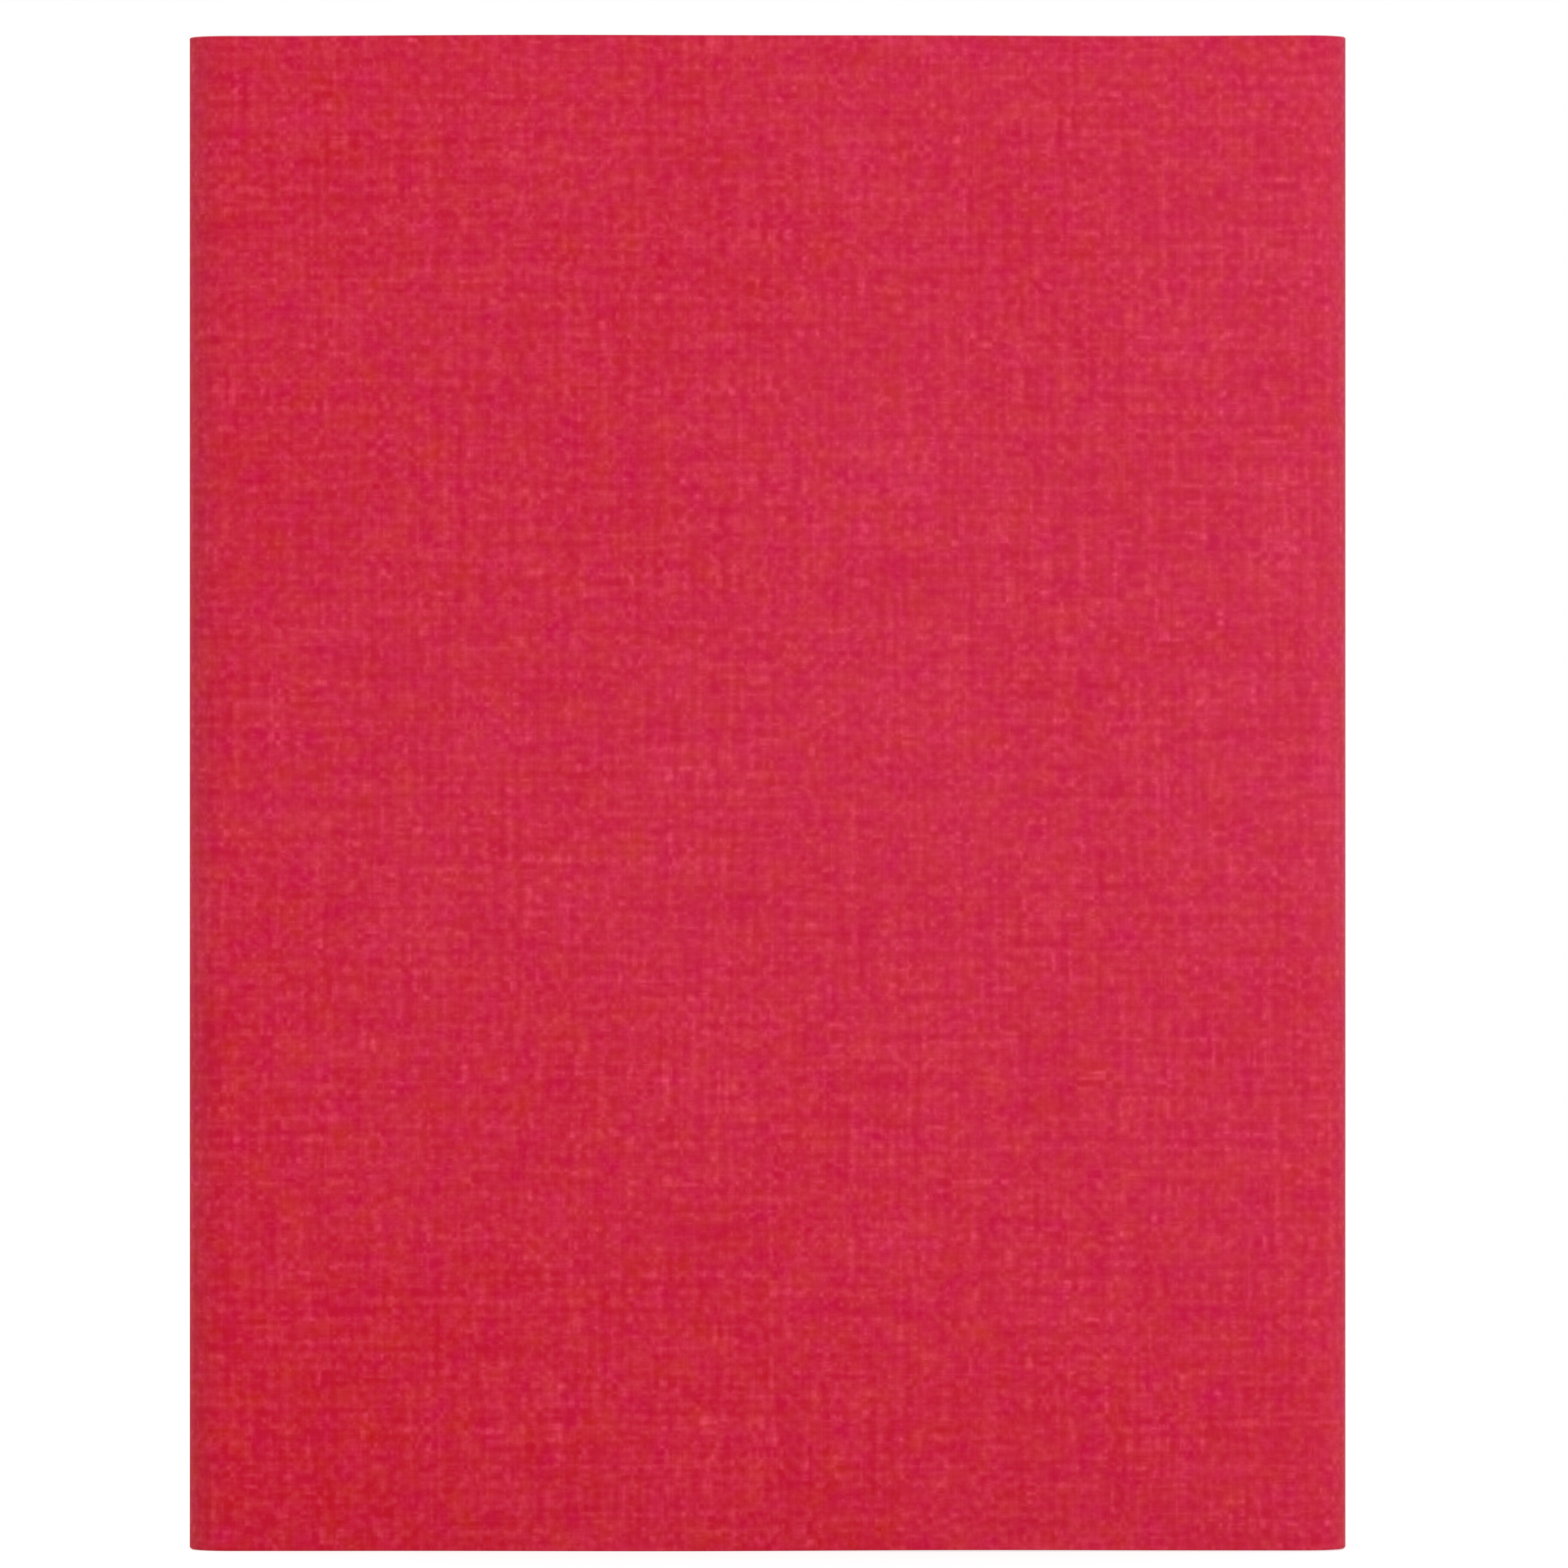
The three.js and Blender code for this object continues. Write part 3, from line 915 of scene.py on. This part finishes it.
# One liner of the sleeve: a tube with rounded upright corners, cut back where the flaps fold over.
def addSleeveLiner(name, halfX, halfY, radius, offset):
    notch = boardThickness + board["capGap"]
    topCut, lowCut = sleeveHigh.z - notch, sleeveLow.z + notch
    tube = addBox(name, (-halfX, -halfY, sleeveLow.z), (halfX, halfY, sleeveHigh.z))
    pick(tube, "EDGE", lambda part, middle: abs(abs(middle.x) - halfX) < mm
         and abs(abs(middle.y) - halfY) < mm)
    bpy.ops.mesh.bevel(offset=radius, segments=5, affect="EDGES")
    finishEdit()
    pick(tube, "FACE", lambda part, middle: abs(part.normal.z) > 0.9)
    bpy.ops.mesh.delete(type="ONLY_FACE")
    finishEdit()
    for at in (topCut, lowCut):
        split(tube, (0, 0, at), (0, 0, 1))
    innerY = sleeveHigh.y - boardThickness
    pick(tube, "FACE", lambda part, middle: (middle.z > topCut and middle.y > -innerY)
         or (middle.z < lowCut and middle.y < innerY))
    bpy.ops.mesh.delete(type="FACE")
    finishEdit()
    thicken(tube, board["liner"], offset)
    smooth(tube, 40)
    dress(tube, kraftBoard)
    return tube


# The flutes of one upright wall, drawn flat and stood up.
def addWallFlutes(name, halfWidth, low, high, turn, shift):
    depth = boardThickness - 2 * board["liner"]
    flutes = addFlutes(name, (-halfWidth, low), (halfWidth, high), 0, depth)
    thicken(flutes, board["medium"])
    smooth(flutes, 60)
    dress(flutes, flutedMedium)
    return turnAndShift(flutes, (math.pi / 2, 0, turn), shift)


def makeCore():
    thickness = boardThickness
    notch = thickness + board["capGap"]
    innerX, innerY = sleeveHigh.x - thickness, sleeveHigh.y - thickness
    wallX, wallY = sleeveHigh.x - thickness / 2, sleeveHigh.y - thickness / 2
    low, high = sleeveLow.z, sleeveHigh.z
    parts = [
        addSleeveLiner("outerLiner", sleeveHigh.x, sleeveHigh.y, cloth["boardCorner"], -1),
        addSleeveLiner("innerLiner", innerX, innerY, board["innerCorner"], 1),
        addWallFlutes("frontFlutes", cornerX, low + notch, high, 0, (0, -wallY, 0)),
        addWallFlutes("backFlutes", cornerX, low, high - notch, 0, (0, wallY, 0)),
    ]
    for name, x in (("leftFlutes", -wallX), ("rightFlutes", wallX)):
        parts.append(addWallFlutes(name, cornerY, low + notch, high - notch, math.pi / 2, (x, 0, 0)))
    # The lap glued inside the back wall closes the sleeve.
    lapLow = (-innerX, low + board["lapEndGap"])
    lapHigh = (-innerX + board["lapWidth"], high - board["lapEndGap"])
    lap = addBoard("gluedLap", lapLow, lapHigh, 0)
    lap = turnAndShift(lap, (math.pi / 2, 0, 0), (0, innerY - board["glue"], 0))
    core = joinAll("core_board", parts + [lap])
    standFor(core, "core_sleeve", "bolt")


tuckFlap = {
    "curl": 34,                    # degrees that the tongue turns about the crease
    "tongueHalf": 75.6 * mm,
    "tongueSteps": 8,
    "linerBack": 0.4 * mm,         # the inner face paper stands back from the front edge
    "fluteBack": 0.3 * mm,         # and so do the flutes
    "fluteShort": 0.3,             # degrees by which the flutes end before the tongue's face papers
    "hingeGap": 0.6 * mm,          # from the crease to the inner face paper and the flutes
    "creaseReach": 2.8 * mm,       # how far the crease strip reaches each way
    "creaseRound": 0.7 * mm,
    "creaseSteps": 5,              # round the crease, and again down the back wall
    "creaseStep": 0.6 * mm,
}


# Carries the panel's front edge round the crease as a tongue.
def spinTongue(piece, frontY, degrees):
    pivot = hinges["top_flap_hinge"]
    half = tuckFlap["tongueHalf"]
    pick(piece, "EDGE", lambda part, middle: abs(middle.y - frontY) < 0.05 * mm and abs(middle.x) < half
         and all(abs(corner.co.y - frontY) < 0.05 * mm for corner in part.verts))
    bpy.ops.mesh.spin(steps=tuckFlap["tongueSteps"], angle=-math.radians(degrees),
                      center=(0, pivot.y, pivot.z), axis=(1, 0, 0))
    finishEdit()


# Splits a flat sheet where the tongue's sides meet the panel.
def splitAtTongue(piece):
    for sign in (-1, 1):
        split(piece, (sign * tuckFlap["tongueHalf"], 0, 0), (1, 0, 0))


def makeTuckFlap():
    pivot = hinges["top_flap_hinge"]
    liner, thickness = board["liner"], boardThickness
    half, front, top = flapHigh.x, flapLow.y, pivot.z
    reach = pivot.y - front
    back = pivot.y - tuckFlap["creaseReach"]
    curl = tuckFlap["curl"]

    outer = addGrid("flapOuter", (-half, front), (half, back), top)
    splitAtTongue(outer)
    spinTongue(outer, front, curl)
    thicken(outer, liner, -1)

    # The inner liner meets the tongue's inner face a little way down its curve.
    innerReach = math.sqrt((reach - thickness) ** 2 - thickness ** 2)
    innerAngle = math.degrees(math.asin(thickness / (reach - thickness)))
    innerBack = pivot.y - tuckFlap["hingeGap"]
    linerFront, fluteFront = front + tuckFlap["linerBack"], front + tuckFlap["fluteBack"]
    inner = addGrid("flapInner", (-half, linerFront), (half, innerBack), top - thickness)
    trim(inner, (0, pivot.y - innerReach, 0), (0, -1, 0))
    splitAtTongue(inner)
    spinTongue(inner, pivot.y - innerReach, curl - innerAngle)
    thicken(inner, liner, 1)
    ears = addGrid("flapEars", (-half, linerFront), (half, pivot.y - innerReach), top - thickness, 3, 1)
    splitAtTongue(ears)
    pick(ears, "FACE", lambda part, middle: abs(middle.x) < tuckFlap["tongueHalf"])
    bpy.ops.mesh.delete(type="FACE")
    finishEdit()
    thicken(ears, liner, 1)

    depth = thickness - 2 * liner
    flutes = addFlutes("flapFlutes", (-half, fluteFront), (half, innerBack), top - thickness / 2, depth)
    splitAtTongue(flutes)
    spinTongue(flutes, fluteFront, curl - tuckFlap["fluteShort"])
    thicken(flutes, board["medium"])
    for part in (outer, inner, ears):
        smooth(part, 40)
        dress(part, kraftBoard)
    smooth(flutes, 60)
    dress(flutes, flutedMedium)
    return joinAll("top_flap_board", [outer, inner, ears, flutes])


# The outer liner where it runs over the crease from the back wall on to the flap.
def makeFlapCrease():
    pivot = hinges["top_flap_hinge"]
    radius, steps = tuckFlap["creaseRound"], tuckFlap["creaseSteps"]
    start, edge = pivot.y - tuckFlap["creaseReach"], pivot.y - radius
    strip = addGrid("top_crease", (-flapHigh.x, start), (flapHigh.x, edge), pivot.z, 1, 3)
    pick(strip, "EDGE", lambda part, middle: abs(middle.y - edge) < hair
         and all(abs(corner.co.y - edge) < hair for corner in part.verts))
    bpy.ops.mesh.spin(steps=steps, angle=math.pi / 2, center=(0, edge, pivot.z - radius), axis=(1, 0, 0))
    for i in range(steps):
        bpy.ops.mesh.extrude_region_move(TRANSFORM_OT_translate={"value": (0, 0, -tuckFlap["creaseStep"])})
    finishEdit()
    pick(strip, "FACE", everything)
    bpy.ops.mesh.normals_make_consistent(inside=False)
    finishEdit()
    thicken(strip, board["liner"], -1)
    smooth(strip, 50)
    dress(strip, kraftBoard)
    return strip


def bendAtCrease(strip):
    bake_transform(strip)


# A dust flap's flutes run on from the side wall's, along X, so it is drawn a quarter turn round.
def makeDustFlap():
    low, high = dustLow, dustHigh
    cut = (high.y - low.y) / 4
    slope = math.sqrt(0.5)
    corners = [
        ((high.y - cut, -low.x, 0), (slope, slope, 0)),
        ((low.y + cut, -low.x, 0), (-slope, slope, 0)),
    ]
    flap = addBoard("top_dust_flap_right_board", (low.y, -high.x), (high.y, -low.x), 0, corners)
    return turnAndShift(flap, (0, 0, math.pi / 2), (0, 0, high.z))


dustCrease = {
    "overWall": 0.4 * mm,          # left bare at the wall's outer edge
    "overFlap": 4.2 * mm,          # from the hinge on to the dust flap
    "paper": 0.15 * mm,
    "lift": 0.03 * mm,             # clear of the boards that it covers
    "columns": 14,
}


# The face paper that runs from the side wall over the crease on to its dust flap.
def makeDustCrease():
    pivot = hinges["top_dust_flap_right_hinge"]
    inner, outer = pivot.x - dustCrease["overFlap"], sleeveHigh.x - dustCrease["overWall"]
    level = dustHigh.z + dustCrease["lift"]
    strip = addGrid("top_dust_flap_right_crease", (inner, dustLow.y), (outer, dustHigh.y), level,
                    dustCrease["columns"], 2)
    thicken(strip, dustCrease["paper"], 1)
    dress(strip, kraftBoard)
    return strip


def bendDustCrease(strip):
    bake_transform(strip)


# The piece at the core's upper right, and its copies at the upper left, lower right and lower left.
def fourEnds(right):
    left = turnAndShift(copyOf(right, right.name.replace("right", "left")), (0, 0, math.pi))
    lowRight = lowerCopy(right, right.name.replace("top", "bottom"))
    return right, left, lowRight, lowerCopy(left, left.name.replace("top", "bottom"))


def makeEnds():
    top = makeTuckFlap()
    crease = makeFlapCrease()
    bottom = lowerCopy(top, "bottom_flap_board")
    lowCrease = lowerCopy(crease, "bottom_crease")
    for piece in (top, bottom):
        node = piece.name.removesuffix("_board")
        standFor(piece, node, node)
    bendAtCrease(crease)
    bendAtCrease(lowCrease)

    for piece in fourEnds(makeDustFlap()):
        node = piece.name.removesuffix("_board")
        standFor(piece, node, node)
    for strip in fourEnds(makeDustCrease()):
        bendDustCrease(strip)


kraftBoard = makeKraft()
flutedMedium = makeMedium()
makeCore()
makeEnds()
print("board core made")


chipboard = {
    "roughness": 0.88,
    "specular": 0.2,
    "pulp": (1300.0, 90.0),
    "pale": (0.330, 0.285, 0.225),
    "dark": (0.205, 0.172, 0.134),
    "darkShare": 0.4,
    "flecks": 1.8,
    "clouds": 0.4,
    "bump": (0.4, 0.1 * mm),
}


# The pleated insert is grey chipboard, and keeps its own shape.
def makeChipboard():
    material, wiring, sockets, pulp = newPaper("chipboard", chipboard)
    share = wiring.timesPlus(pulp["Fleck"], chipboard["flecks"], chipboard["darkShare"], clamp=True)
    color = wiring.mixed(share, chipboard["pale"], chipboard["dark"])
    shade = wiring.timesPlus(pulp["Cloud"], chipboard["clouds"], 1.0)
    finishPaper(wiring, sockets, chipboard, color, shade, pulp["Fleck"])
    return material


maskingTape = {
    "roughness": 0.62,
    "specular": 0.35,
    "pulp": (800.0, 70.0),
    "cream": (0.640, 0.535, 0.330),
    "clouds": 0.3,
    "ridgePitch": 0.7 * mm,
    "ridgeBend": 0.9 * mm,         # how far the ridges stray from straight
    # painted shade: how much darker the hollows between the crepe ridges are
    "paintedRidgeShade": 0.045,
    "fleckRelief": 0.8,            # height of the flecks beside that of the ridges
    "bump": (0.45, 0.08 * mm),
}


# Creped masking tape: waxy cream paper with fine ridges across it.
def makeTape(name, ridgeAxis):
    material, wiring, sockets, pulp = newPaper(name, maskingTape)
    along = wiring.parts(wiring.place())[ridgeAxis]
    bent = wiring.timesPlus(pulp["Cloud"], maskingTape["ridgeBend"], along)
    ridge = wiring.math("SINE", wiring.times(bent, 2 * math.pi / maskingTape["ridgePitch"]))
    shade = wiring.timesPlus(pulp["Cloud"], maskingTape["clouds"], 1.0)
    # Painted shade: the paper is darker in the hollows between the ridges, following their relief.
    shade = wiring.timesPlus(ridge, maskingTape["paintedRidgeShade"], shade)
    relief = wiring.timesPlus(pulp["Fleck"], maskingTape["fleckRelief"], ridge)
    finishPaper(wiring, sockets, maskingTape, maskingTape["cream"], shade, relief)
    return material


endLabel = {
    "round": 1.6 * mm,
    "roughness": 0.55,
    "specular": 0.4,
    "pulp": (1500.0, 60.0),
    "paper": (0.830, 0.815, 0.770),
    "clouds": 0.10,
    "ink": (0.100, 0.096, 0.100),
    "rubbed": ((0.560, 0.500, 0.400), 0.35),
    "rubbedReach": 0.6 * mm,
    "bump": (0.2, 0.05 * mm),
    "frameInset": 1.3 * mm,
    "frameLine": 0.13 * mm,        # half the width of the frame's line
    "rules": (-4 * mm, 0.0, 4 * mm),
    "ruleLine": 0.09 * mm,
    "ruleInk": 0.7,                # the rules are printed paler than the frame
    "ruleMiddle": -8 * mm,
    "ruleHalf": 54 * mm,
    "chip": (0.560, 0.022, 0.050),
    "chipMiddle": 62 * mm,
    "chipHalf": (5.4 * mm, 3.6 * mm),
    "wear": 1.1,                   # how much ink the flecks take off
    "sunk": 0.04 * mm,             # the card's underside, into the glue under it
}


# A blank stock card: a printed border, three ruled lines to write on and a chip of the cloth's colour.
def makeLabelPaper(middle, half):
    material, wiring, sockets, pulp = newPaper("labelPaper", endLabel)
    x, y = wiring.parts(wiring.vector("SUBTRACT", wiring.place(), middle))[:2]
    wide, deep = wiring.math("ABSOLUTE", x), wiring.math("ABSOLUTE", y)

    def within(value, centre, reach):
        away = wiring.math("ABSOLUTE", wiring.math("SUBTRACT", value, centre))
        return wiring.math("LESS_THAN", away, reach)

    # A stretch of the frame: a line at one distance from the middle, as long as the other distance allows.
    def frameLine(across, acrossHalf, along, alongHalf):
        line = within(across, acrossHalf - endLabel["frameInset"], endLabel["frameLine"])
        inside = wiring.math("LESS_THAN", along, alongHalf - endLabel["frameInset"])
        return wiring.times(line, inside)

    ends = frameLine(wide, half.x, deep, half.y)
    sides = frameLine(deep, half.y, wide, half.x)
    ink = wiring.math("MAXIMUM", ends, sides)
    for at in endLabel["rules"]:
        across = within(y, at, endLabel["ruleLine"])
        ruled = wiring.times(across, within(x, endLabel["ruleMiddle"], endLabel["ruleHalf"]))
        ink = wiring.math("MAXIMUM", ink, wiring.times(ruled, endLabel["ruleInk"]))
    chipWide, chipDeep = endLabel["chipHalf"]
    chip = wiring.times(within(x, endLabel["chipMiddle"], chipWide), within(y, 0.0, chipDeep))
    wear = wiring.times(wiring.math("ABSOLUTE", pulp["Fleck"]), endLabel["wear"])
    worn = wiring.math("SUBTRACT", 1.0, wear)
    color = wiring.mixed(wiring.times(ink, worn), endLabel["paper"], endLabel["ink"])
    color = wiring.mixed(wiring.times(chip, worn), color, endLabel["chip"])
    color = rubEdges(wiring, color, middle, half, endLabel)
    shade = wiring.timesPlus(pulp["Cloud"], endLabel["clouds"], 1.0)
    finishPaper(wiring, sockets, endLabel, color, shade, pulp["Fleck"])
    return material


def makeLabel():
    half = (labelHigh - labelLow) / 2
    label = addBox("end_label_card", labelLow - Vector((0, 0, endLabel["sunk"])), labelHigh)
    pick(label, "EDGE", lambda part, middle: abs(abs(middle.x) - half.x) < 0.1 * mm
         and abs(part.verts[0].co.z - part.verts[1].co.z) > 0.05 * mm)
    bpy.ops.mesh.bevel(offset=endLabel["round"], segments=6, affect="EDGES")
    finishEdit()
    dress(label, makeLabelPaper((labelLow + labelHigh) / 2, half))
    standFor(label, "end_label", "top_flap")


tailTape = {
    "thickness": 0.12 * mm,
    "lift": 0.07 * mm,             # of the tape's middle above the cloth
    "past": 0.5 * mm,              # from the cloth's cut edge to the step down
    "slope": 3.5 * mm,             # length of that step
    "teeth": 1.5 * mm,             # from one tooth of the torn ends to the next
    "toothDepth": 0.6 * mm,
    "columns": 104,
    "rows": 26,
}


# Height of the cloth's outer face at the back, on the tail or on the turn under it.
def backSurface(x, z, turn):
    flatY = cornerY + cornerRadius(turn) + outerPly + cloth["sheetThickness"] / 2
    return flatY + swell(x, z, turn, 1)


# A strip of tape pressed over the cloth's cut edge, with its ends torn off on a toothed blade.
def makeTailTapes():
    creped = makeTape("crepedTape", 0)
    turns = cloth["turns"]
    for name in ("tail_tape_upper", "tail_tape_lower"):
        low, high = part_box(name)
        strip = addGrid(name + "_strip", (low.x, low.z), (high.x, high.z), 0, tailTape["columns"],
                        tailTape["rows"])
        strip = turnAndShift(strip, (math.pi / 2, 0, 0))
        places = np.zeros(len(strip.data.vertices) * 3)
        strip.data.vertices.foreach_get("co", places)
        places = places.reshape(-1, 3)
        x, z = places[:, 0].copy(), places[:, 2]
        tooth = np.abs((z / tailTape["teeth"]) % 1 - 0.5) * 2 * tailTape["toothDepth"]
        atLeft, atRight = x < low.x + hair, x > high.x - hair
        x = np.where(atLeft, x + tooth, np.where(atRight, x - tooth, x))
        step = np.clip((tailEdge - tailTape["past"] - x) / tailTape["slope"], 0, 1)
        step = step * step * (3 - 2 * step)
        onTail = backSurface(x, z, turns)
        onTurn = backSurface(x, z, turns - 1)
        places[:, 0] = x
        places[:, 1] = onTail * (1 - step) + onTurn * step + tailTape["lift"]
        strip.data.vertices.foreach_set("co", places.ravel())
        strip.data.update()
        pick(strip, "FACE", everything)
        bpy.ops.mesh.flip_normals()
        finishEdit()
        thicken(strip, tailTape["thickness"])
        smooth(strip, 60)
        dress(strip, creped)
        standFor(strip, name, "tail")


fray = {
    "count": 150,
    "radius": 0.045 * mm,
    "taper": 0.6,                  # share of the radius that is lost towards the tip
    "length": (0.5 * mm, 2.6 * mm),
    "points": 6,
    "rooted": 1.2 * mm,            # length that lies inside the plies
    "curlFrom": 0.3,               # share of the thread that stays straight
    "endGap": 3 * mm,              # none this near the folds
    "droop": (-0.45, 0.25),
    "lift": (-0.10, 0.22),
    "innerLift": 0.3,              # share of the lift for threads between the plies
    "plies": (-1.5, -0.5, 0.5, 1.5),
    "roughness": 0.8,
    "specular": 0.2,
    "uneven": (900.0, 0.8),        # changes of shade to the metre, and how far they go
}


def makeLooseThread():
    material, wiring, sockets = newMaterial("looseThread", fray["roughness"], fray["specular"])
    changes, reach = fray["uneven"]
    shade = wiring.timesPlus(wiring.cloud(wiring.place(), changes), reach, 1.0)
    wiring.feed(sockets["Base Color"], wiring.shaded(cotton["crimson"], shade))
    return material


# Loose warp ends at the cut edge: fine tubes that start inside the plies and curl away.
def makeFray():
    draw = random.Random(4)
    turns = cloth["turns"]
    verts, faces = [], []
    for i in range(fray["count"]):
        z = draw.uniform(fray["endGap"], clothHeight - fray["endGap"])
        ply = draw.choice(fray["plies"]) * plyPitch
        base = backSurface(tailEdge, z, turns) - outerPly - cloth["sheetThickness"] / 2 + ply
        length = draw.uniform(*fray["length"])
        droop = draw.uniform(*fray["droop"])
        lift = draw.uniform(*fray["lift"]) * (1 if ply > 0 else fray["innerLift"])
        first = len(verts)
        for j in range(fray["points"]):
            share = j / (fray["points"] - 1)
            x = tailEdge + fray["rooted"] - (fray["rooted"] + length) * share
            curl = 2 * max(0.0, share - fray["curlFrom"]) ** 2
            y = base + lift * length * curl
            up = z + droop * length * curl
            radius = fray["radius"] * (1 - fray["taper"] * share)
            for a, b in ((1, 0), (0, 1), (-1, 0), (0, -1)):
                verts.append((x, y + radius * a, up + radius * b))
        for j in range(fray["points"] - 1):
            for k in range(4):
                a, b = first + 4 * j + k, first + 4 * j + (k + 1) % 4
                faces.append((a, b, b + 4, a + 4))
        end = first + 4 * (fray["points"] - 1)
        faces.append((first + 3, first + 2, first + 1, first))
        faces.append((end, end + 1, end + 2, end + 3))
    mesh = bpy.data.meshes.new("tail_fray")
    mesh.from_pydata(verts, [], faces)
    piece = bpy.data.objects.new("tail_fray", mesh)
    bpy.context.scene.collection.objects.link(piece)
    pick(piece, "FACE", everything)
    bpy.ops.mesh.normals_make_consistent(inside=False)
    finishEdit()
    smooth(piece, 60)
    dress(piece, makeLooseThread())
    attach(piece, "tail")
    return piece


dress(frame["nodes"]["core_stiffener"], makeChipboard())
dress(frame["nodes"]["start_tape"], makeTape("startTape", 2))
makeLabel()
makeTailTapes()
tailFray = makeFray()
print("paper and threads made")
